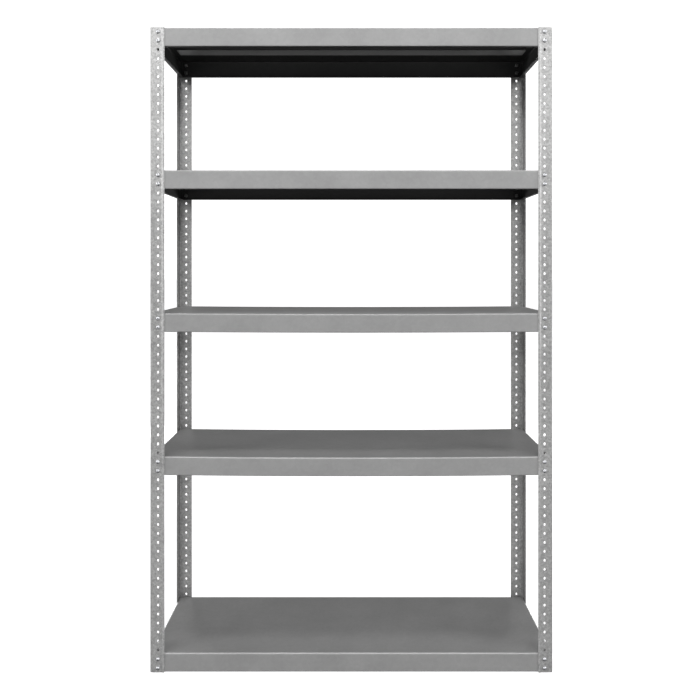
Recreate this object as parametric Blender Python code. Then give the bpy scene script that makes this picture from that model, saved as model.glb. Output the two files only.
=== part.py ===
"""Five-tier perforated-angle steel shelving unit, modelled piece by piece.

Four equal-leg angle posts carry five folded pan shelves. Every shelf has a hat-section
stiffener spot-welded under its deck and is held at each corner, front and rear, by two
round-head bolts with square nuts. Two shelves hang down a little in the middle. Metres,
+Z up, the front faces -Y, and the origin is on the floor under the middle of the unit.
"""

import math

import bmesh
import bpy
import numpy

# ---------------------------------------------------------------- driving dimensions
PITCH = 0.0254                      # one hole step along a post
POST_PITCHES = 72                   # post height in hole steps
WIDTH = 1.143                       # over the posts' outer faces
DEPTH = 0.381                       # over the posts' outer faces
GAP = 0.0003                        # air left between touching pieces

FLANGE = 0.0405                     # leg of the angle, outer corner to free edge
POST_SHEET = 0.0018
POST_BEND = 0.0038                  # outer bend radius of the angle
HEM_WIDTH = 0.0078                  # edge of the leg folded back on its outer side
HEM_RISE = 0.0014
HEM_CREST = 0.0031                  # highest line of the hem, from the free edge
HOLE_FROM_CORNER = 0.0223
HOLE_WIDTH = 0.0068
HOLE_HEIGHT = 0.0084
HOLE_SIDES = 6

SHELF_TOPS = (2.14, 24.1, 40.1, 56.06, 72.0)    # shelf tops in hole steps above the floor
SHELF_HEIGHT = 0.0534
SHELF_SHEET = 0.0010
SHELF_EDGE = 0.0040                 # outer radius where the deck turns down
SHELF_LIP = 0.0120                  # return lip at the bottom of the skirts
SHELF_DROOP = {2: 0.0038, 3: 0.0026}    # how far the middle of a bent shelf hangs down
SHELF_SPANS = 9                     # straight lengths of a bent shelf, the middle one level

HAT_WIDTH = 0.0600                  # flat bottom of the stiffener
HAT_DEPTH = 0.0200
HAT_FLANGE = 0.0140                 # spot-weld flange on each side
HAT_SPREAD = 0.0040                 # how far each web leans out towards its flange
HAT_SHEET = 0.0010
HAT_LENGTH = 1.0630

HEAD_RADIUS = 0.0067
HEAD_HEIGHT = 0.0040
SHANK_RADIUS = 0.0024
NUT_ACROSS_FLATS = 0.0100
NUT_THICKNESS = 0.0045
BOLT_TIP = 0.0030                   # thread standing out past the nut
BOLT_ROWS = {"upper": 0.5, "lower": 1.5}    # hole steps under the last whole step of a shelf's top

# ------------------------------------------------------------------- derived sizes
HEIGHT = POST_PITCHES * PITCH
CORNER_X = WIDTH / 2
CORNER_Y = DEPTH / 2
POST_X = CORNER_X - HEM_RISE       # outer planes of the legs, under the hem
POST_Y = CORNER_Y - HEM_RISE
BOLT_X = POST_X - HOLE_FROM_CORNER
SHELF_X = POST_X - POST_SHEET - GAP
SHELF_Y = POST_Y - POST_SHEET - GAP


def clear_scene():
    for obj in list(bpy.data.objects):
        bpy.data.objects.remove(obj, do_unlink=True)


def metal(name, colour, roughness):
    material = bpy.data.materials.new(name)
    material.use_nodes = True
    shader = material.node_tree.nodes["Principled BSDF"]
    shader.inputs["Base Color"].default_value = (*colour, 1.0)
    shader.inputs["Metallic"].default_value = 0.85
    shader.inputs["Roughness"].default_value = roughness
    return material


def mesh_from(name, build):
    """A mesh made by build(bm), with its normals facing out."""
    bm = bmesh.new()
    build(bm)
    bmesh.ops.recalc_face_normals(bm, faces=bm.faces)
    mesh = bpy.data.meshes.new(name)
    bm.to_mesh(mesh)
    bm.free()
    return mesh


def place(name, mesh, material, location=(0, 0, 0), turn=0.0):
    obj = bpy.data.objects.new(name, mesh)
    obj.location = location
    obj.rotation_euler = (0, 0, math.radians(turn))
    obj.data.materials.clear()
    obj.data.materials.append(material)
    bpy.context.scene.collection.objects.link(obj)
    return obj


def cut(mesh, cutter_mesh):
    """The mesh with the cutter's volume removed by an exact Boolean."""
    body = bpy.data.objects.new("body", mesh)
    cutter = bpy.data.objects.new("cutter", cutter_mesh)
    cutter.hide_render = True
    cutter.display_type = "WIRE"
    for obj in (body, cutter):
        bpy.context.scene.collection.objects.link(obj)
    boolean = body.modifiers.new("holes", "BOOLEAN")
    boolean.operation = "DIFFERENCE"
    boolean.solver = "EXACT"
    boolean.object = cutter
    bpy.context.view_layer.update()
    graph = bpy.context.evaluated_depsgraph_get()
    result = bpy.data.meshes.new_from_object(body.evaluated_get(graph))
    bpy.data.objects.remove(body, do_unlink=True)
    bpy.data.objects.remove(cutter, do_unlink=True)
    return result


def prism(bm, outline, along):
    """A solid prism: a closed outline of 3-D points pushed by the vector along."""
    face = bm.faces.new([bm.verts.new(point) for point in outline])
    pushed = bmesh.ops.extrude_face_region(bm, geom=[face])["geom"]
    moved = [item for item in pushed if isinstance(item, bmesh.types.BMVert)]
    bmesh.ops.translate(bm, verts=moved, vec=along)


def hole_outline():
    """Corners of one hole, measured across and up from its centre."""
    return [
        (
            HOLE_WIDTH / 2 * math.sin(math.tau * step / HOLE_SIDES),
            HOLE_HEIGHT / 2 * math.cos(math.tau * step / HOLE_SIDES),
        )
        for step in range(HOLE_SIDES)
    ]


# ------------------------------------------------------------------------------ posts
def leg_outline():
    """One leg of the angle from the bend to its free edge: (distance, outward) points."""
    return [
        (POST_BEND, 0.0),
        (FLANGE - HEM_WIDTH, 0.0),
        (FLANGE - HEM_CREST, HEM_RISE),
        (FLANGE - 0.35 * HEM_CREST, 0.75 * HEM_RISE),
        (FLANGE, -0.3 * POST_SHEET),
        (FLANGE, -POST_SHEET),
    ]


def post_outline():
    """Cross-section with the outer corner at the origin and legs along +X and +Y."""
    right_leg = [(along, -out) for along, out in leg_outline()]
    rear_leg = [(-out, along) for along, out in leg_outline()]
    bend_middle = POST_BEND * (1 - math.sqrt(0.5))
    bend = [(bend_middle, bend_middle)]
    inside = [(POST_SHEET, POST_SHEET)]
    return right_leg + inside + rear_leg[::-1] + bend


def post_mesh():
    def body(bm):
        prism(bm, [(x, y, 0.0) for x, y in post_outline()], (0, 0, HEIGHT))

    def punches(bm):
        reach = 4 * POST_SHEET
        for step in range(POST_PITCHES):
            centre = (step + 0.5) * PITCH
            across = [(HOLE_FROM_CORNER + a, centre + up) for a, up in hole_outline()]
            prism(bm, [(x, -reach / 2, z) for x, z in across], (0, reach, 0))
            prism(bm, [(-reach / 2, y, z) for y, z in across], (reach, 0, 0))

    return cut(mesh_from("post_body", body), mesh_from("post_punches", punches))


# ---------------------------------------------------------------------------- shelves
def shelf_rings():
    """(inset, height) of the rings from the top face, round the skirt, to the deck's underside."""
    inner = SHELF_SHEET
    knee = 1 - math.sqrt(0.5)
    return [
        (SHELF_EDGE, 0.0),
        (SHELF_EDGE * knee, -SHELF_EDGE * knee),
        (0.0, -SHELF_EDGE),
        (0.0, -SHELF_HEIGHT),
        (SHELF_LIP, -SHELF_HEIGHT),
        (SHELF_LIP, -SHELF_HEIGHT + inner),
        (inner, -SHELF_HEIGHT + inner),
        (inner, -SHELF_EDGE),
        (SHELF_EDGE, -inner),
    ]


def bolt_drop(top, row):
    """How far below a shelf's top one of its bolt rows is; bolts sit in the posts' holes."""
    return (top - math.floor(top) + BOLT_ROWS[row]) * PITCH


def stations(number):
    """Places along a shelf where it may bend: only its ends if it is straight."""
    spans = SHELF_SPANS if number in SHELF_DROOP else 1
    return [SHELF_X * (2 * i / spans - 1) for i in range(spans + 1)]


def droop_at(number, x):
    """How far a shelf hangs down at x, straight from one station to the next."""
    bends = stations(number)
    droops = [SHELF_DROOP.get(number, 0.0) * (1 - (bend / SHELF_X) ** 2) for bend in bends]
    return float(numpy.interp(x, bends, droops))


def shelf_mesh(number):
    def body(bm):
        bends = stations(number)[1:-1]
        rows = []
        for inset, height in shelf_rings():
            x = SHELF_X - inset
            y = SHELF_Y - inset
            along = [-x, *bends, x]
            front = [bm.verts.new((at, -y, height - droop_at(number, at))) for at in along]
            rear = [bm.verts.new((at, y, height - droop_at(number, at))) for at in along]
            rows.append((front, rear))
        for (front, rear), (next_front, next_rear) in zip(rows, rows[1:]):
            ring = front + rear[::-1]
            next_ring = next_front + next_rear[::-1]
            for i in range(len(ring)):
                j = (i + 1) % len(ring)
                bm.faces.new((ring[i], ring[j], next_ring[j], next_ring[i]))
        for front, rear in (rows[0], rows[-1]):
            for i in range(len(front) - 1):
                bm.faces.new((front[i], front[i + 1], rear[i + 1], rear[i]))

    def punches(bm):
        for side in (-1, 1):
            x = side * BOLT_X
            for row in BOLT_ROWS:
                z = -bolt_drop(SHELF_TOPS[number - 1], row)
                for face in (-1, 1):
                    y = face * (SHELF_Y - 2 * SHELF_SHEET)
                    outline = [(x + a, y, z + up) for a, up in hole_outline()]
                    prism(bm, outline, (0, face * 4 * SHELF_SHEET, 0))

    return cut(mesh_from("shelf_body", body), mesh_from("shelf_punches", punches))


def stiffener_mesh(number):
    half = HAT_WIDTH / 2
    sheet = HAT_SHEET
    right_side = [
        (half - sheet, -HAT_DEPTH + sheet),
        (half + HAT_SPREAD - sheet, 0.0),
        (half + HAT_SPREAD + HAT_FLANGE, 0.0),
        (half + HAT_SPREAD + HAT_FLANGE, -sheet),
        (half + HAT_SPREAD, -sheet),
        (half, -HAT_DEPTH),
    ]
    outline = right_side + [(-y, z) for y, z in right_side[::-1]]

    def body(bm):
        end = HAT_LENGTH / 2
        along = [-end, *[x for x in stations(number) if abs(x) < end], end]
        loops = []
        for x in along:
            drop = droop_at(number, x)
            loops.append([bm.verts.new((x, y, z - drop)) for y, z in outline])
        for near, far in zip(loops, loops[1:]):
            for i in range(len(outline)):
                j = (i + 1) % len(outline)
                bm.faces.new((near[i], near[j], far[j], far[i]))
        bm.faces.new(loops[0])
        bm.faces.new(loops[-1])

    return mesh_from("stiffener", body)


# -------------------------------------------------------------------------- fasteners
def bolt_mesh():
    """Bolt and square nut along Y, head towards -Y, the head's seat at y = 0."""
    sides = 8
    stack = POST_SHEET + SHELF_SHEET + 3 * GAP
    nut_back = stack + NUT_THICKNESS
    flat = NUT_ACROSS_FLATS / 2

    def ring(bm, y, radius, square):
        corners = []
        for step in range(sides):
            angle = math.tau * step / sides
            reach = radius * math.sqrt(2) if square and step % 2 else radius
            corners.append(bm.verts.new((reach * math.cos(angle), y, reach * math.sin(angle))))
        return corners

    def body(bm):
        stations = [
            (-HEAD_HEIGHT, 0.50 * HEAD_RADIUS, False),
            (-0.45 * HEAD_HEIGHT, 0.92 * HEAD_RADIUS, False),
            (0.0, HEAD_RADIUS, False),
            (0.0, SHANK_RADIUS, False),
            (stack, SHANK_RADIUS, False),
            (stack, flat, True),
            (nut_back, flat, True),
            (nut_back, SHANK_RADIUS, False),
            (nut_back + BOLT_TIP, SHANK_RADIUS, False),
        ]
        rings = [ring(bm, *station) for station in stations]
        for near, far in zip(rings, rings[1:]):
            for i in range(sides):
                j = (i + 1) % sides
                bm.faces.new((near[i], near[j], far[j], far[i]))
        bm.faces.new(rings[0])
        bm.faces.new(rings[-1])

    mesh = mesh_from("bolt", body)
    mesh.shade_smooth()
    mesh.set_sharp_from_angle(angle=math.radians(40))
    return mesh


# --------------------------------------------------------------------------- assembly
def build_posts(material):
    mesh = post_mesh()
    corners = (
        ("post_front_left", -1, -1, 0),
        ("post_front_right", 1, -1, 90),
        ("post_rear_right", 1, 1, 180),
        ("post_rear_left", -1, 1, 270),
    )
    for name, x_side, y_side, turn in corners:
        place(name, mesh, material, (x_side * POST_X, y_side * POST_Y, 0), turn)


def build_shelves(material, stiffener_material):
    for number, top in enumerate(SHELF_TOPS, start=1):
        height = top * PITCH
        underside = height - SHELF_SHEET - GAP
        place(f"shelf_{number}", shelf_mesh(number), material, (0, 0, height))
        stiffener = stiffener_mesh(number)
        place(f"stiffener_{number}", stiffener, stiffener_material, (0, 0, underside))


def build_bolts(material):
    mesh = bolt_mesh()
    seat = POST_Y + GAP
    for number, top in enumerate(SHELF_TOPS, start=1):
        for face, y_side, turn in (("front", -1, 0), ("rear", 1, 180)):
            for side, x_side in (("left", -1), ("right", 1)):
                for row in BOLT_ROWS:
                    name = f"bolt_shelf_{number}_{face}_{side}_{row}"
                    height = top * PITCH - bolt_drop(top, row)
                    location = (x_side * BOLT_X, y_side * seat, height)
                    place(name, mesh, material, location, turn)


def main():
    clear_scene()
    posts = metal("galvanised_post", (0.56, 0.56, 0.54), 0.42)
    shelves = metal("galvanised_shelf", (0.46, 0.46, 0.46), 0.48)
    stiffeners = metal("galvanised_stiffener", (0.46, 0.46, 0.46), 0.48)
    bolts = metal("zinc_plated_bolt", (0.82, 0.83, 0.84), 0.28)
    build_posts(posts)
    build_shelves(shelves, stiffeners)
    build_bolts(bolts)


main()
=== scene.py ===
"""Looks for the five-tier perforated-angle shelving unit.

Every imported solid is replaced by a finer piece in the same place: posts with punched
holes and a rolled edge, folded pan shelves, hat stiffeners, recessed screws and square
nuts. Metres, +Z up, the front faces -Y.
"""

import math
import random

import bmesh
import bpy
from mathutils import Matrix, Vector


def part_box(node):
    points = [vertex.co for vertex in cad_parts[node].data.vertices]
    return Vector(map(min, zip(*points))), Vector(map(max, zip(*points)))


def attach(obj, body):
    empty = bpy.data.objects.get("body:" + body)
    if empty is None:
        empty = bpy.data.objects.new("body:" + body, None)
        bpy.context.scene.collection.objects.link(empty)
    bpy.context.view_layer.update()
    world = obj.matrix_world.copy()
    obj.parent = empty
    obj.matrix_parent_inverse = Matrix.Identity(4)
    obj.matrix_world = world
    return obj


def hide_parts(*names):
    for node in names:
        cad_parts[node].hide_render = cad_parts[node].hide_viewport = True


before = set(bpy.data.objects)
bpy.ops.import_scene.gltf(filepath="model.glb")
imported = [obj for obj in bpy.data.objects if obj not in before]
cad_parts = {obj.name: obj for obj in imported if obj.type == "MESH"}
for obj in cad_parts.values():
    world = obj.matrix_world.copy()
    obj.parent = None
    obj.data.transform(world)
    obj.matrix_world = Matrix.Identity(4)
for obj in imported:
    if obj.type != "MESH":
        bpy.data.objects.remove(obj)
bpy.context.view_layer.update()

TINY = 1e-6
TOUCH = 0.0003                           # air left between pieces that touch

# ------------------------------------------------------------------ sizes from the frame
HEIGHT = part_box("post_front_left")[1].z
UNIT_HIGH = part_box("post_rear_right")[1]
POST_PITCHES = 72
PITCH = HEIGHT / POST_PITCHES
SHELF_COUNT = 5
HEM_RISE = 0.0014
POST_X = UNIT_HIGH.x - HEM_RISE          # outer planes of the legs, under the hem
POST_Y = UNIT_HIGH.y - HEM_RISE

# ------------------------------------------------------------------------- post section
FLANGE = 0.0405
POST_SHEET = 0.0018
POST_BEND = 0.0038
BEND_STEPS = 6
FLAT, HEM = 0, 1                         # material slots of a post; HEM carries a painted highlight

HEM_WIDTH = 0.0078
HEM_CREST = 0.0031                       # crest of the rolled edge, from the free edge
HEM_STEPS = 6                            # of the rise, and of the nose beyond the crest
HEM_RISE_CURVE = 0.9
HEM_NOSE_CURVE = 0.7
HEM_UNDERCUT = 0.0006                    # how far the free edge draws in under the nose
HEM_BANDS = range(3, 10)                 # strips of the rolled edge that take the lighter hem tone, a painted highlight

HOLE_FROM_CORNER = 0.0223
HOLE_RADIUS = 0.00295
HOLE_STRAIGHT = 0.00105                  # half of the straight part of each oval side
HOLE_ROUND = 0.0004                      # edge drawn in by the punch
HOLE_STEPS = 24
CELL_SIDE_STEPS = 2                      # divisions of a hole's cell along the post
CELL_TOP_STEPS = (HOLE_STEPS - 2 * CELL_SIDE_STEPS) // 2

# ------------------------------------------------------------------------ shelf section
SHELF_SHEET = 0.0010
SHELF_HEIGHT = 0.0534
SHELF_EDGE = 0.0042                      # radius of the rounded top edge
SHELF_EDGE_STEPS = 6
SHELF_LIP = 0.0120
LIP_BEND = 0.0018
LIP_BEND_STEPS = 3
BEND_MARGIN = 0.0012                     # strip beside a bend that keeps the flat flat
SHELF_STEPS_X = 28
SHELF_STEPS_Y = 8
SAG = {1: 0.0, 2: 0.0038, 3: 0.0026, 4: 0.0, 5: 0.0}   # droop in mid shelf, from the floor up
OUTSIDE, EDGE, INSIDE = 0, 1, 2          # material slots of a shelf; EDGE carries a painted highlight, INSIDE painted shade

# --------------------------------------------------------------------------- stiffeners
HAT_WIDTH = 0.0600
HAT_DEPTH = 0.0200
HAT_FLANGE = 0.0140
HAT_SPREAD = 0.0040                      # how far each web leans out
HAT_SHEET = 0.0010
HAT_BEND = 0.0022
HAT_BEND_STEPS = 4
HAT_LENGTH = 1.0630
BASE, WEB = 0, 1                         # material slots of a stiffener; BASE has a darker tone and WEB a near-black one, both painted shade
WEB_STEEPNESS = 0.9                      # a face tilted more than this is web, which gets painted shade

WELD_SPACING = 0.0870
WELD_ROW = HAT_WIDTH / 2 + HAT_SPREAD + HAT_FLANGE / 2
WELD_RADIUS = 0.0030
WELD_CORE = 0.6                          # share of the radius that is pressed all the way

# ---------------------------------------------------------------------------- fasteners
ROUND_STEPS = 32
HEAD_RADIUS = 0.0058
HEAD_HEIGHT = 0.0040
DOME_STEPS = 8
DOME_HEIGHT = 0.78                       # shares of the head's height
DOME_CURVE = 1.15
RIM_HEIGHT = 0.08
DOME_FLAT = 0.12                         # shares of the head's radius
SEAT_RADIUS = 0.95
RECESS_SPAN = 0.0030
RECESS_WIDTH = 0.0007
RECESS_DEPTH = 0.0022
RECESS_OVERRUN = 0.001
FLOOR_SPAN = 0.5                         # floor of the recess, as shares of its mouth
FLOOR_WIDTH = 0.7
SHANK_RADIUS = 0.0024
THREAD_DEPTH = 0.00045
THREAD_PITCH = 0.0010
THREAD_LEAD = 3                          # threads ahead of the nut's back
THREAD_RUNOUT = 0.0002
BOLT_TIP = 0.0030
TIP_TAPER = 1.4                          # thread depths taken off the radius at the tip
NUT_HALF = 0.0050
NUT_THICKNESS = 0.0045
NUT_CORNER = 1.32                        # shares of the nut's half width
NUT_CROWN = 0.97
NUT_CHAMFER = 0.0010
BORE_CLEARANCE = 0.00012
BORE_CHAMFER = 0.0005
NUT_TURN = 0.5                           # most that a nut is turned from square, in radians
TURN_SEED = 11

# Angles, in degrees, past which an edge shows sharp
SHEET_SHARP = 32
SCREW_SHARP = 40
RECESS_SHARP = 20
NUT_SHARP = 30

# --------------------------------------------------------------------------------- zinc
SMALL_CRYSTAL = 0.37                     # share of the large crystals' size
SMALL_CONTRAST = 0.6                     # shares of the large crystals' contrast
GRAIN_CONTRAST = 0.7
CLOUD_SIZE = 0.11
GRAIN_SIZE = 0.0011
NOISE_RANGE = (0.3, 0.7)                 # the part of a noise's range that is used
CLOUD_TONES = (0.94, 1.06)
WELD_TONE = 0.88
WELD_RELIEF = 2.5
ROUGHNESS_SWING = 0.05
RELIEF_DEPTH = 0.0002

# --------------------------------------------------------------------------------- stage
# name, place, point aimed at, (width, height), watts
LIGHTS = (
    ("top_front", (0, -0.85, 3.7), (0, -0.25, 0.9), (2.4, 0.4), 24.0),
    ("high_front", (0, -3.6, 2.7), (0, 0, 0.9), (3.2, 1.2), 2.0),
    ("high_back", (0, 2.0, 3.2), (0, 0, 0.9), (2.6, 1.2), 5.0),
    ("side_left", (-2.6, -1.5, 1.5), (-0.5, 0, 0.95), (0.8, 2.4), 14.0),
    ("rear_side_left", (-2.4, 2.5, 0.45), (0, 0.1, 0.95), (2.0, 0.8), 30.0),
    ("side_right", (2.6, -1.5, 1.5), (0.5, 0, 0.95), (0.8, 2.4), 14.0),
    ("rear_side_right", (2.4, 2.5, 0.45), (0, 0.1, 0.95), (2.0, 0.8), 30.0),
)
# Directions run from -1 to 1: up, and from in front of the unit to behind it.
OVERHEAD_SKY = (0.0, 0.11, 0.1, 0.7)     # strength low down and high up, and from where to where
# strength in front and behind, and from where to where; lower edge's fade; upper edge's fade
FRONT_SKY = ((2.95, 0.0, -0.5, 0.1), (0.04, 0.24), (0.4, 0.75))
REAR_SKY = ((0.0, 0.22, -0.1, 0.5), (-0.02, 0.12), (0.3, 0.6))
FLOOR_SHINE = ((1.4, 0.0, -0.4, 0.0), (-0.6, -0.4), (-0.22, -0.06))
BACKDROP_STRENGTH = 1.4

FLOOR_HALF = 60.0
FLOOR_DROP = 0.0005
FLOOR_TONE = 0.9
FLOOR_ROUGHNESS = 0.9
FLOOR_GLOW = 0.75

CAMERA_DISTANCE = 2.20                   # from the front of the posts
CAMERA_HEIGHT = 1.1538
CAMERA_SENSOR = 36.0
CAMERA_LENS = 39.93
CAMERA_SHIFT_X = -0.0019
CAMERA_SHIFT_Y = -0.121


# ============================================================================ materials
def node(tree, kind, **settings):
    made = tree.nodes.new(kind)
    for key, value in settings.items():
        setattr(made, key, value)
    return made


def math_node(tree, operation, first, second=None):
    """A Math node fed by sockets or plain numbers; returns its output socket."""
    made = node(tree, "ShaderNodeMath", operation=operation)
    for socket, value in zip(made.inputs, (first, second)):
        if value is None:
            continue
        if isinstance(value, bpy.types.NodeSocket):
            tree.links.new(value, socket)
        else:
            socket.default_value = value
    return made.outputs[0]


def product(tree, *values):
    total = values[0]
    for value in values[1:]:
        total = math_node(tree, "MULTIPLY", total, value)
    return total


def spread(tree, value, low, high, from_low=0.0, from_high=1.0):
    """Maps a socket's range onto low..high."""
    made = node(tree, "ShaderNodeMapRange")
    tree.links.new(value, made.inputs["Value"])
    made.inputs["From Min"].default_value = from_low
    made.inputs["From Max"].default_value = from_high
    made.inputs["To Min"].default_value = low
    made.inputs["To Max"].default_value = high
    return made.outputs["Result"]


def around_one(tree, value, swing, *value_range):
    """Maps a socket's range onto a factor that swings this far either side of 1."""
    return spread(tree, value, 1 - swing, 1 + swing, *value_range)


def cells(tree, place, size):
    """Brightness, 0 to 1, of random crystal cells of this size in metres."""
    made = node(tree, "ShaderNodeTexVoronoi", feature="F1")
    tree.links.new(place, made.inputs["Vector"])
    made.inputs["Scale"].default_value = 1 / size
    split = node(tree, "ShaderNodeSeparateColor")
    tree.links.new(made.outputs["Color"], split.inputs["Color"])
    return split.outputs["Red"]


def noise(tree, place, size, detail, rough=0.55):
    made = node(tree, "ShaderNodeTexNoise")
    tree.links.new(place, made.inputs["Vector"])
    made.inputs["Scale"].default_value = 1 / size
    made.inputs["Detail"].default_value = detail
    made.inputs["Roughness"].default_value = rough
    return made.outputs["Fac"]


def weld_marks(tree, place):
    """1 inside the spot-weld dimples of a deck, 0 outside."""
    split = node(tree, "ShaderNodeSeparateXYZ")
    tree.links.new(place, split.inputs[0])
    along = math_node(tree, "PINGPONG", split.outputs["X"], WELD_SPACING / 2)
    row = math_node(tree, "ABSOLUTE", split.outputs["Y"])
    across = math_node(tree, "SUBTRACT", row, WELD_ROW)
    squares = math_node(
        tree, "ADD", product(tree, along, along), product(tree, across, across)
    )
    away = math_node(tree, "SQRT", squares)
    return spread(tree, away, 1.0, 0.0, WELD_RADIUS * WELD_CORE, WELD_RADIUS)


def zinc(name, tone, metallic, roughness, crystal, contrast, bump, welds=False):
    """Hot-dip zinc: a grey tone broken into crystals, with soft clouding and fine grain."""
    material = bpy.data.materials.new(name)
    material.use_nodes = True
    tree = material.node_tree
    shader = tree.nodes["Principled BSDF"]
    place = node(tree, "ShaderNodeTexCoord").outputs["Object"]
    large = cells(tree, place, crystal)
    small = cells(tree, place, crystal * SMALL_CRYSTAL)
    cloud = noise(tree, place, CLOUD_SIZE, detail=3.0)
    grain = noise(tree, place, GRAIN_SIZE, detail=2.0)
    value = product(
        tree,
        around_one(tree, large, contrast),
        around_one(tree, small, contrast * SMALL_CONTRAST),
        spread(tree, cloud, *CLOUD_TONES, *NOISE_RANGE),
        around_one(tree, grain, contrast * GRAIN_CONTRAST, *NOISE_RANGE),
    )
    height = math_node(tree, "ADD", large, grain)
    if welds:
        marks = weld_marks(tree, place)
        value = product(tree, value, spread(tree, marks, 1.0, WELD_TONE))
        height = math_node(tree, "SUBTRACT", height, product(tree, marks, WELD_RELIEF))
    colour = node(tree, "ShaderNodeCombineColor")
    for socket, share in zip(colour.inputs, tone):
        tree.links.new(math_node(tree, "MULTIPLY", value, share), socket)
    tree.links.new(colour.outputs[0], shader.inputs["Base Color"])
    rough = spread(tree, small, roughness - ROUGHNESS_SWING, roughness + ROUGHNESS_SWING)
    tree.links.new(rough, shader.inputs["Roughness"])
    shader.inputs["Metallic"].default_value = metallic
    relief = node(tree, "ShaderNodeBump")
    relief.inputs["Strength"].default_value = bump
    relief.inputs["Distance"].default_value = RELIEF_DEPTH
    tree.links.new(height, relief.inputs["Height"])
    tree.links.new(relief.outputs[0], shader.inputs["Normal"])
    return material


# ============================================================================= geometry
class Skin:
    """Collects faces by their corner points and welds them into one mesh."""

    def __init__(self):
        self.points = []
        self.faces = []
        self.paints = []
        self.paint = 0                   # material slot given to the faces added next

    def face(self, *corners):
        start = len(self.points)
        self.points.extend(corners)
        self.faces.append(tuple(range(start, start + len(corners))))
        self.paints.append(self.paint)

    def band(self, first, second, closed=True):
        """Quads between two rows of points."""
        count = len(first)
        for i in range(count if closed else count - 1):
            j = (i + 1) % count
            self.face(first[i], first[j], second[j], second[i])

    def bands(self, rows, closed=True):
        """Quads between each row of points and the next."""
        for first, second in zip(rows, rows[1:]):
            self.band(first, second, closed)

    def mesh(self, name, sharp=SHEET_SHARP):
        mesh = bpy.data.meshes.new(name)
        mesh.from_pydata(self.points, [], self.faces)
        mesh.polygons.foreach_set("material_index", self.paints)
        bm = bmesh.new()
        bm.from_mesh(mesh)
        bmesh.ops.remove_doubles(bm, verts=bm.verts, dist=TINY)
        bmesh.ops.recalc_face_normals(bm, faces=bm.faces)
        bm.to_mesh(mesh)
        bm.free()
        shade(mesh, sharp)
        return mesh


def shade(mesh, sharp):
    """Smooth shading, apart from edges that turn by more than this many degrees."""
    mesh.shade_smooth()
    mesh.set_sharp_from_angle(angle=math.radians(sharp))


def add_piece(name, mesh, materials, *stands_for, location=(0, 0, 0), rotation=(0, 0, 0)):
    obj = bpy.data.objects.new(name, mesh)
    if not mesh.materials:
        for material in materials:
            mesh.materials.append(material)
    obj.location = location
    obj.rotation_euler = rotation
    bpy.context.scene.collection.objects.link(obj)
    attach(obj, "root")
    if stands_for:
        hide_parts(*stands_for)
    return obj


def quarter(bend, radius, steps):
    """Points of a quarter circle round (bend, bend), from below that centre to its left."""
    points = []
    for i in range(steps + 1):
        angle = math.pi / 2 * i / steps
        points.append((bend - radius * math.sin(angle), bend - radius * math.cos(angle)))
    return points


# -------------------------------------------------------------------------------- posts
def hole_ring(grow):
    """Points round the oval hole, (across, up) from its centre, clockwise from the top."""
    ring = []
    radius = HOLE_RADIUS + grow
    for step in range(HOLE_STEPS):
        angle = math.tau * step / HOLE_STEPS
        up = math.cos(angle)
        straight = HOLE_STRAIGHT if up > TINY else -HOLE_STRAIGHT if up < -TINY else 0.0
        ring.append((radius * math.sin(angle), radius * up + straight))
    return ring


def cell_ring(left, right, half):
    """Points round a hole's cell, matched one to one with hole_ring."""
    side, top = CELL_SIDE_STEPS, CELL_TOP_STEPS
    ring = [(left + (right - left) * i / top, half) for i in range(top)]
    ring += [(right, half - 2 * half * i / side) for i in range(side)]
    ring += [(right + (left - right) * i / top, -half) for i in range(top)]
    ring += [(left, -half + 2 * half * i / side) for i in range(side)]
    start = top // 2
    return ring[start:] + ring[:start]


def hem_section():
    """Outer profile of the rolled edge, (from corner, outward), from the flat to its end."""
    profile = []
    run = HEM_WIDTH - HEM_CREST
    for i in range(HEM_STEPS + 1):
        share = i / HEM_STEPS
        height = HEM_RISE * math.sin(share * math.pi / 2) ** HEM_RISE_CURVE
        profile.append((FLANGE - HEM_WIDTH + run * share, height))
    thickness = HEM_RISE + POST_SHEET
    for i in range(1, HEM_STEPS + 1):
        angle = i / HEM_STEPS * math.pi
        if angle > math.pi / 2:
            along = FLANGE - HEM_UNDERCUT * (1 - math.sin(angle))
        else:
            bulge = math.sin(angle) ** HEM_NOSE_CURVE * min(1, 2 * i / HEM_STEPS)
            along = FLANGE - HEM_CREST + HEM_CREST * bulge
        profile.append((along, HEM_RISE - thickness * (1 - math.cos(angle)) / 2))
    return profile


def on_x_leg(along, out, up):
    return (along, -out, up)


def on_y_leg(along, out, up):
    return (-out, along, up)


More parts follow.
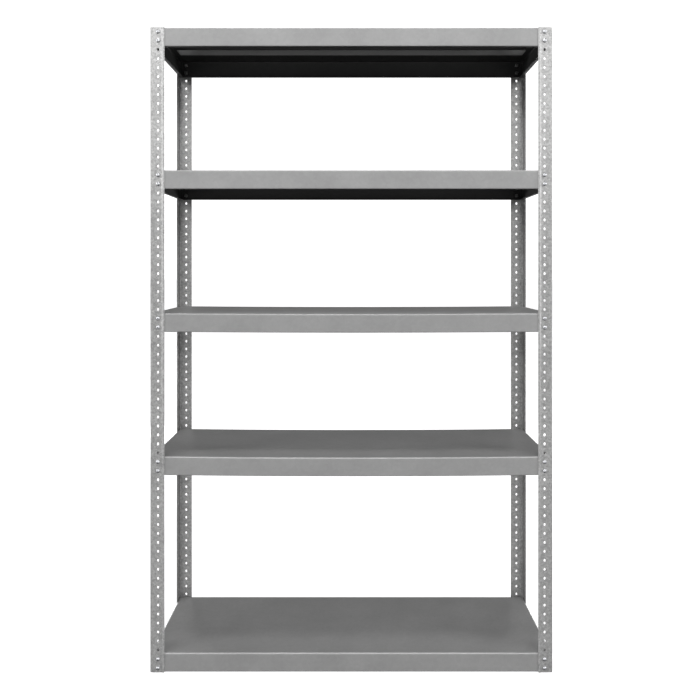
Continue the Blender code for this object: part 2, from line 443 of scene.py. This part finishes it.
def build_post_skin():
    """One angle: outer corner on the Z axis, legs along +X and +Y."""
    skin = Skin()
    half = PITCH / 2
    flat_start = POST_BEND
    flat_end = FLANGE - HEM_WIDTH
    row_height = PITCH / CELL_SIDE_STEPS
    rows = [i * row_height for i in range(POST_PITCHES * CELL_SIDE_STEPS + 1)]
    ends = (0.0, HEIGHT)
    across = [
        flat_start + (flat_end - flat_start) * i / CELL_TOP_STEPS
        for i in range(CELL_TOP_STEPS + 1)
    ]
    hem = hem_section()

    cell, wide, narrow = [
        [(HOLE_FROM_CORNER + a, b) for a, b in ring]
        for ring in (
            cell_ring(flat_start - HOLE_FROM_CORNER, flat_end - HOLE_FROM_CORNER, half),
            hole_ring(HOLE_ROUND),
            hole_ring(0.0),
        )
    ]
    loops = (
        (cell, 0.0),
        (wide, 0.0),
        (narrow, -HOLE_ROUND),
        (narrow, -POST_SHEET),
        (cell, -POST_SHEET),
    )
    for leg in (on_x_leg, on_y_leg):
        for step in range(POST_PITCHES):
            centre = (step + 0.5) * PITCH
            skin.bands([[leg(a, out, centre + b) for a, b in ring] for ring, out in loops])
        columns = [[leg(a, out, z) for z in rows] for a, out in hem]
        columns.append([leg(flat_end, -POST_SHEET, z) for z in rows])
        for i, (first, second) in enumerate(zip(columns, columns[1:])):
            # The hem strips get the lighter tone: a painted highlight along the rolled edge.
            skin.paint = HEM if i in HEM_BANDS else FLAT
            skin.band(first, second, closed=False)
        skin.paint = FLAT
        for z in ends:
            skin.face(*[leg(a, out, z) for a, out in hem + [(flat_end, -POST_SHEET)]])
        for z in ends:
            outer = [leg(a, 0.0, z) for a in across]
            inner = [leg(a, -POST_SHEET, z) for a in across]
            skin.band(outer, inner, closed=False)

    bend = [quarter(POST_BEND, POST_BEND - depth, BEND_STEPS) for depth in (0.0, POST_SHEET)]
    for arc in bend:
        skin.bands([[(x, y, z) for z in rows] for x, y in arc], closed=False)
    for z in ends:
        outer, inner = [[(x, y, z) for x, y in arc] for arc in bend]
        skin.band(outer, inner, closed=False)
    return skin


def build_posts(materials):
    base = build_post_skin().mesh("post")
    corners = (
        ("front_left", -1, -1, 0),
        ("front_right", 1, -1, 90),
        ("rear_right", 1, 1, 180),
        ("rear_left", -1, 1, 270),
    )
    for name, x_side, y_side, turn in corners:
        mesh = base.copy()
        angle = math.radians(turn)
        for vertex in mesh.vertices:
            x, y, z = vertex.co
            vertex.co = (
                x_side * POST_X + x * math.cos(angle) - y * math.sin(angle),
                y_side * POST_Y + x * math.sin(angle) + y * math.cos(angle),
                z,
            )
        add_piece(f"angle_{name}", mesh, materials, f"post_{name}")


# ------------------------------------------------------------------------------ shelves
def sagged(points, droop, half_length):
    """The points lowered by a parabola: by droop in the middle, by nothing at the ends."""
    return [(x, y, z - droop * (1 - (x / half_length) ** 2)) for x, y, z in points]


def rectangle(x, y, z):
    """A closed loop of points round a rectangle, with the same steps at every size."""
    nx, ny = SHELF_STEPS_X, SHELF_STEPS_Y
    loop = [(-x + 2 * x * i / nx, -y, z) for i in range(nx)]
    loop += [(x, -y + 2 * y * i / ny, z) for i in range(ny)]
    loop += [(x - 2 * x * i / nx, y, z) for i in range(nx)]
    loop += [(-x, y - 2 * y * i / ny, z) for i in range(ny)]
    return loop


def shelf_section():
    """(inset, depth) from the top face down the skirt, round the lip and back to the deck.

    Also returns the number of the band that is the lip's underside.
    """
    section = [(SHELF_EDGE + BEND_MARGIN, 0.0)]
    section += quarter(SHELF_EDGE, SHELF_EDGE, SHELF_EDGE_STEPS)
    section.append((0.0, SHELF_EDGE + BEND_MARGIN))
    section.append((0.0, SHELF_HEIGHT - LIP_BEND - BEND_MARGIN))
    lip_bend = quarter(LIP_BEND, LIP_BEND, LIP_BEND_STEPS)
    section += [(inset, SHELF_HEIGHT - up) for inset, up in reversed(lip_bend)]
    lip = len(section) - 1
    section.append((SHELF_LIP, SHELF_HEIGHT))
    section.append((SHELF_LIP, SHELF_HEIGHT - SHELF_SHEET))
    section.append((LIP_BEND, SHELF_HEIGHT - SHELF_SHEET))
    section.append((SHELF_SHEET, SHELF_HEIGHT - LIP_BEND))
    section += reversed(quarter(SHELF_EDGE, SHELF_EDGE - SHELF_SHEET, SHELF_EDGE_STEPS))
    return section, lip


def deck(skin, x, y, z):
    """The flat middle of a shelf as a grid that meets rectangle(x, y, z)."""
    nx, ny = SHELF_STEPS_X, SHELF_STEPS_Y
    grid = [
        [(-x + 2 * x * i / nx, -y + 2 * y * j / ny, z) for i in range(nx + 1)]
        for j in range(ny + 1)
    ]
    skin.bands(grid, closed=False)


def build_shelf(number, materials):
    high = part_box(f"shelf_{number}")[1]
    half_x, half_y, top = high.x, high.y, high.z
    skin = Skin()
    section, lip = shelf_section()
    loops = [rectangle(half_x - inset, half_y - inset, top - depth) for inset, depth in section]
    for i, (first, second) in enumerate(zip(loops, loops[1:])):
        # Rounded top edge: lighter tone, a painted highlight. Lip underside and inner faces:
        # near-black tone, painted shade.
        skin.paint = EDGE if 0 < i < SHELF_EDGE_STEPS else INSIDE if i >= lip else OUTSIDE
        skin.band(first, second)
    # The deck's underside takes the near-black tone: painted shade.
    for paint, (inset, depth) in ((OUTSIDE, section[0]), (INSIDE, section[-1])):
        skin.paint = paint
        deck(skin, half_x - inset, half_y - inset, top - depth)
    skin.points = sagged(skin.points, SAG[number], half_x)
    add_piece(f"pan_{number}", skin.mesh(f"pan_{number}"), materials, f"shelf_{number}")


# --------------------------------------------------------------------------- stiffeners
def rounded(points, radius):
    """An open chain of (y, z) corners with every inner corner rounded."""
    result = [points[0]]
    for before, corner, after in zip(points, points[1:], points[2:]):
        b, c, a = Vector(before), Vector(corner), Vector(after)
        start = c + (b - c).normalized() * radius
        end = c + (a - c).normalized() * radius
        for i in range(HAT_BEND_STEPS + 1):
            t = i / HAT_BEND_STEPS
            point = start.lerp(c, t).lerp(c.lerp(end, t), t)
            result.append((point.x, point.y))
    result.append(points[-1])
    return result


def offset_chain(points, distance):
    """The chain moved sideways by this distance, to give a sheet its second face."""
    moved = []
    for i, point in enumerate(points):
        before = Vector(points[max(i - 1, 0)])
        after = Vector(points[min(i + 1, len(points) - 1)])
        along = (after - before).normalized()
        moved.append((point[0] - along.y * distance, point[1] + along.x * distance))
    return moved


def build_stiffener(number, materials):
    shelf_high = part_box(f"shelf_{number}")[1]
    top = shelf_high.z - SHELF_SHEET - TOUCH - HAT_SHEET
    bottom = top + HAT_SHEET - HAT_DEPTH
    half = HAT_WIDTH / 2
    reach = half + HAT_SPREAD
    corners = [
        (-reach - HAT_FLANGE, top),
        (-reach, top),
        (-half, bottom),
        (half, bottom),
        (reach, top),
        (reach + HAT_FLANGE, top),
    ]
    under = rounded(corners, HAT_BEND)
    over = offset_chain(under, HAT_SHEET)
    outline = under + over[::-1]
    skin = Skin()
    step = HAT_LENGTH / SHELF_STEPS_X
    stations = [-HAT_LENGTH / 2 + step * i for i in range(SHELF_STEPS_X + 1)]
    skin.bands([[(x, y, z) for y, z in outline] for x in stations])
    for x in (stations[0], stations[-1]):
        lower = [(x, y, z) for y, z in under]
        upper = [(x, y, z) for y, z in over]
        skin.band(lower, upper, closed=False)
    skin.points = sagged(skin.points, SAG[number], shelf_high.x)
    mesh = skin.mesh(f"hat_{number}")
    for polygon in mesh.polygons:
        # Steep faces take the near-black tone: painted shade on the webs.
        polygon.material_index = WEB if abs(polygon.normal.z) < WEB_STEEPNESS else BASE
    add_piece(f"hat_{number}", mesh, materials, f"stiffener_{number}")


# ---------------------------------------------------------------------------- fasteners
def round_angles():
    return [math.tau * i / ROUND_STEPS for i in range(ROUND_STEPS)]


def circle(y, radius):
    return [(radius * math.cos(angle), y, radius * math.sin(angle)) for angle in round_angles()]


def square(y, half, corner):
    """A square loop of half-width half whose corners are cut at radius corner."""
    loop = []
    for angle in round_angles():
        reach = min(half / max(abs(math.cos(angle)), abs(math.sin(angle))), corner)
        loop.append((reach * math.cos(angle), y, reach * math.sin(angle)))
    return loop


def screw_mesh(stack):
    """Pan-head screw along +Y: head towards -Y, seat at y = 0, a threaded shank behind."""
    skin = Skin()
    loops = []
    for i in range(DOME_STEPS + 1):
        angle = math.pi / 2 * i / DOME_STEPS
        drop = DOME_HEIGHT * HEAD_HEIGHT * (1 - math.cos(angle)) ** DOME_CURVE
        share = DOME_FLAT + (1 - DOME_FLAT) * math.sin(angle)
        loops.append(circle(-HEAD_HEIGHT + drop, HEAD_RADIUS * share))
    loops.append(circle(-RIM_HEIGHT * HEAD_HEIGHT, HEAD_RADIUS))
    loops.append(circle(0.0, HEAD_RADIUS * SEAT_RADIUS))
    loops.append(circle(0.0, SHANK_RADIUS))
    end = stack + NUT_THICKNESS + BOLT_TIP
    y = stack + NUT_THICKNESS - THREAD_LEAD * THREAD_PITCH
    loops.append(circle(y, SHANK_RADIUS))
    while y + THREAD_PITCH < end - THREAD_RUNOUT:
        loops.append(circle(y + THREAD_PITCH * 0.5, SHANK_RADIUS - THREAD_DEPTH))
        loops.append(circle(y + THREAD_PITCH, SHANK_RADIUS))
        y += THREAD_PITCH
    loops.append(circle(end, SHANK_RADIUS - THREAD_DEPTH * TIP_TAPER))
    skin.bands(loops)
    skin.face(*loops[0])
    skin.face(*loops[-1])
    return skin.mesh("screw_blank", sharp=SCREW_SHARP)


def cross(y, span, width):
    """A cross-shaped loop that reaches out by span, with arms of half-width width."""
    points = []
    for turn in range(4):
        angle = -math.pi / 2 * turn
        for x, z in ((width, span), (width, width), (span, width)):
            points.append(
                (
                    x * math.cos(angle) - z * math.sin(angle),
                    y,
                    x * math.sin(angle) + z * math.cos(angle),
                )
            )
    return points


def recess_mesh():
    """Tapered cross cutter for the screw's head."""
    skin = Skin()
    mouth = cross(-HEAD_HEIGHT - RECESS_OVERRUN, RECESS_SPAN, RECESS_WIDTH)
    floor = cross(
        -HEAD_HEIGHT + RECESS_DEPTH, RECESS_SPAN * FLOOR_SPAN, RECESS_WIDTH * FLOOR_WIDTH
    )
    skin.band(mouth, floor)
    skin.face(*mouth)
    skin.face(*floor)
    return skin.mesh("recess", sharp=RECESS_SHARP)


def cut(mesh, cutter_mesh, name):
    """The first mesh with the second one taken out of it."""
    body = bpy.data.objects.new("cut_body", mesh)
    cutter = bpy.data.objects.new("cut_tool", cutter_mesh)
    for obj in (body, cutter):
        bpy.context.scene.collection.objects.link(obj)
    boolean = body.modifiers.new("recess", "BOOLEAN")
    boolean.operation = "DIFFERENCE"
    boolean.solver = "EXACT"
    boolean.object = cutter
    bpy.context.view_layer.update()
    graph = bpy.context.evaluated_depsgraph_get()
    result = bpy.data.meshes.new_from_object(body.evaluated_get(graph))
    result.name = name
    for obj in (body, cutter):
        bpy.data.objects.remove(obj, do_unlink=True)
    shade(result, SCREW_SHARP)
    return result


def nut_mesh(stack):
    """Square nut along +Y, its seat at y = stack, with a chamfered back and an open bore."""
    skin = Skin()
    corner = NUT_HALF * NUT_CORNER
    back = stack + NUT_THICKNESS
    bore = SHANK_RADIUS + BORE_CLEARANCE
    loops = [
        circle(stack, bore),
        square(stack, NUT_HALF, corner),
        square(back - NUT_CHAMFER, NUT_HALF, corner),
        square(back, NUT_HALF, NUT_HALF * NUT_CROWN),
        circle(back, bore + BORE_CHAMFER),
        circle(back - BORE_CHAMFER, bore),
    ]
    skin.bands(loops + loops[:1])
    return skin.mesh("nut", sharp=NUT_SHARP)


def build_fasteners(screw_material, nut_material):
    stack = POST_SHEET + SHELF_SHEET + 3 * TOUCH
    screw = cut(screw_mesh(stack), recess_mesh(), "screw")
    nut = nut_mesh(stack)
    draw = random.Random(TURN_SEED)
    seat = POST_Y + TOUCH
    for number in range(1, SHELF_COUNT + 1):
        for face, facing in (("front", 1), ("rear", -1)):
            for side in ("left", "right"):
                for row in ("upper", "lower"):
                    label = f"shelf_{number}_{face}_{side}_{row}"
                    low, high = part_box(f"bolt_{label}")
                    middle = (low + high) / 2
                    place = (middle.x, -facing * seat, middle.z)
                    turn = 0.0 if facing > 0 else math.pi
                    spin = draw.uniform(0, math.tau)
                    add_piece(f"screw_{label}", screw, [screw_material], f"bolt_{label}",
                              location=place, rotation=(0, spin, turn))
                    tilt = draw.uniform(-NUT_TURN, NUT_TURN)
                    add_piece(f"nut_{label}", nut, [nut_material],
                              location=place, rotation=(0, tilt, turn))


# ================================================================================ stage
def build_floor():
    """A plain pale floor that the unit's own surfaces neither see nor reflect."""
    mesh = bpy.data.meshes.new("floor")
    size = FLOOR_HALF
    corners = [(-size, -size, 0), (size, -size, 0), (size, size, 0), (-size, size, 0)]
    mesh.from_pydata(corners, [], [(0, 1, 2, 3)])
    floor = bpy.data.objects.new("floor", mesh)
    floor.location = (0, 0, -FLOOR_DROP)
    bpy.context.scene.collection.objects.link(floor)
    material = bpy.data.materials.new("studio_floor")
    material.use_nodes = True
    shader = material.node_tree.nodes["Principled BSDF"]
    shader.inputs["Base Color"].default_value = (FLOOR_TONE, FLOOR_TONE, FLOOR_TONE, 1)
    shader.inputs["Roughness"].default_value = FLOOR_ROUGHNESS
    shader.inputs["Specular IOR Level"].default_value = 0.0
    shader.inputs["Emission Color"].default_value = (1, 1, 1, 1)
    shader.inputs["Emission Strength"].default_value = FLOOR_GLOW
    mesh.materials.append(material)
    floor.visible_diffuse = False
    floor.visible_glossy = False


def sky_patch(tree, back, up, depth_ramp, rise, fade):
    """A part of the sky that fades out from front to back, and at its lower and upper edge."""
    return product(
        tree,
        spread(tree, back, *depth_ramp),
        spread(tree, up, 0.0, 1.0, *rise),
        spread(tree, up, 1.0, 0.0, *fade),
    )


def build_world():
    """White backdrop; the unit itself is lit by a soft sky, with a floor shine in front."""
    world = bpy.data.worlds.new("studio")
    bpy.context.scene.world = world
    world.use_nodes = True
    tree = world.node_tree
    tree.nodes.clear()
    rays = node(tree, "ShaderNodeLightPath")
    direction = node(tree, "ShaderNodeTexCoord").outputs["Generated"]
    split = node(tree, "ShaderNodeSeparateXYZ")
    tree.links.new(direction, split.inputs[0])
    up = split.outputs["Z"]
    back = split.outputs["Y"]
    front = sky_patch(tree, back, up, *FRONT_SKY)
    rear = sky_patch(tree, back, up, *REAR_SKY)
    shine = product(
        tree, sky_patch(tree, back, up, *FLOOR_SHINE), rays.outputs["Is Glossy Ray"]
    )
    total = spread(tree, up, *OVERHEAD_SKY)
    for part in (front, rear, shine):
        total = math_node(tree, "ADD", total, part)
    dome = node(tree, "ShaderNodeBackground")
    tree.links.new(total, dome.inputs["Strength"])
    white = node(tree, "ShaderNodeBackground")
    white.inputs["Color"].default_value = (1, 1, 1, 1)
    white.inputs["Strength"].default_value = BACKDROP_STRENGTH
    mix = node(tree, "ShaderNodeMixShader")
    tree.links.new(rays.outputs["Is Camera Ray"], mix.inputs[0])
    tree.links.new(dome.outputs[0], mix.inputs[1])
    tree.links.new(white.outputs[0], mix.inputs[2])
    output = node(tree, "ShaderNodeOutputWorld")
    tree.links.new(mix.outputs[0], output.inputs[0])


def build_lights():
    for name, place, target, size, watts in LIGHTS:
        data = bpy.data.lights.new(name, "AREA")
        data.shape = "RECTANGLE"
        data.size, data.size_y = size
        data.energy = watts
        light = bpy.data.objects.new(name, data)
        light.location = place
        light.rotation_mode = "QUATERNION"
        light.rotation_quaternion = (Vector(target) - Vector(place)).to_track_quat("-Z", "Y")
        bpy.context.scene.collection.objects.link(light)


def build_camera():
    """Level camera in front of the unit, as high as the third bay."""
    data = bpy.data.cameras.new("camera")
    camera = bpy.data.objects.new("camera", data)
    data.sensor_width = CAMERA_SENSOR
    data.lens = CAMERA_LENS
    data.shift_x = CAMERA_SHIFT_X
    data.shift_y = CAMERA_SHIFT_Y
    camera.location = (0, -POST_Y - CAMERA_DISTANCE, CAMERA_HEIGHT)
    camera.rotation_euler = (math.pi / 2, 0, 0)
    bpy.context.scene.collection.objects.link(camera)
    bpy.context.scene.camera = camera


# ============================================================================= assembly
post_zinc = zinc(
    "post_zinc", tone=(0.41, 0.41, 0.408), metallic=0.80, roughness=0.38,
    crystal=0.0046, contrast=0.20, bump=0.40,
)
# Lighter tone than the flat post: a painted highlight on the rolled edge.
hem_highlight_zinc = zinc(
    "hem_highlight_zinc", tone=(0.45, 0.45, 0.448), metallic=0.60, roughness=0.42,
    crystal=0.0048, contrast=0.20, bump=0.30,
)
sheet_zinc = zinc(
    "sheet_zinc", tone=(0.369, 0.369, 0.369), metallic=0.35, roughness=0.46,
    crystal=0.0080, contrast=0.03, bump=0.08, welds=True,
)
# A smoother, lighter copy of the shelf sheet; the lighter tone is a painted highlight along the
# rounded top edge.
edge_highlight_zinc = zinc(
    "edge_highlight_zinc", tone=(0.48, 0.48, 0.48), metallic=0.35, roughness=0.36,
    crystal=0.0080, contrast=0.03, bump=0.08,
)
# Near-black copy of the shelf sheet: painted shade on the undersides, lip undersides and
# stiffener webs.
painted_shade_zinc = zinc(
    "painted_shade_zinc", tone=(0.034, 0.034, 0.034), metallic=0.35, roughness=0.50,
    crystal=0.0080, contrast=0.03, bump=0.08,
)
# The shelf sheet's zinc toned darker for the stiffener under the deck: painted shade.
hat_shaded_zinc = zinc(
    "hat_shaded_zinc", tone=(0.27, 0.27, 0.27), metallic=0.35, roughness=0.42,
    crystal=0.0080, contrast=0.03, bump=0.08,
)
screw_zinc = zinc(
    "screw_zinc", tone=(0.66, 0.67, 0.69), metallic=0.9, roughness=0.24,
    crystal=0.0020, contrast=0.04, bump=0.05,
)
nut_zinc = zinc(
    "nut_zinc", tone=(0.26, 0.26, 0.255), metallic=0.7, roughness=0.40,
    crystal=0.0020, contrast=0.06, bump=0.10,
)

build_posts([post_zinc, hem_highlight_zinc])
for shelf_number in range(1, SHELF_COUNT + 1):
    build_shelf(shelf_number, [sheet_zinc, edge_highlight_zinc, painted_shade_zinc])
    build_stiffener(shelf_number, [hat_shaded_zinc, painted_shade_zinc])
build_fasteners(screw_zinc, nut_zinc)
build_floor()
build_world()
build_lights()
build_camera()
bpy.context.scene.view_settings.view_transform = "Standard"
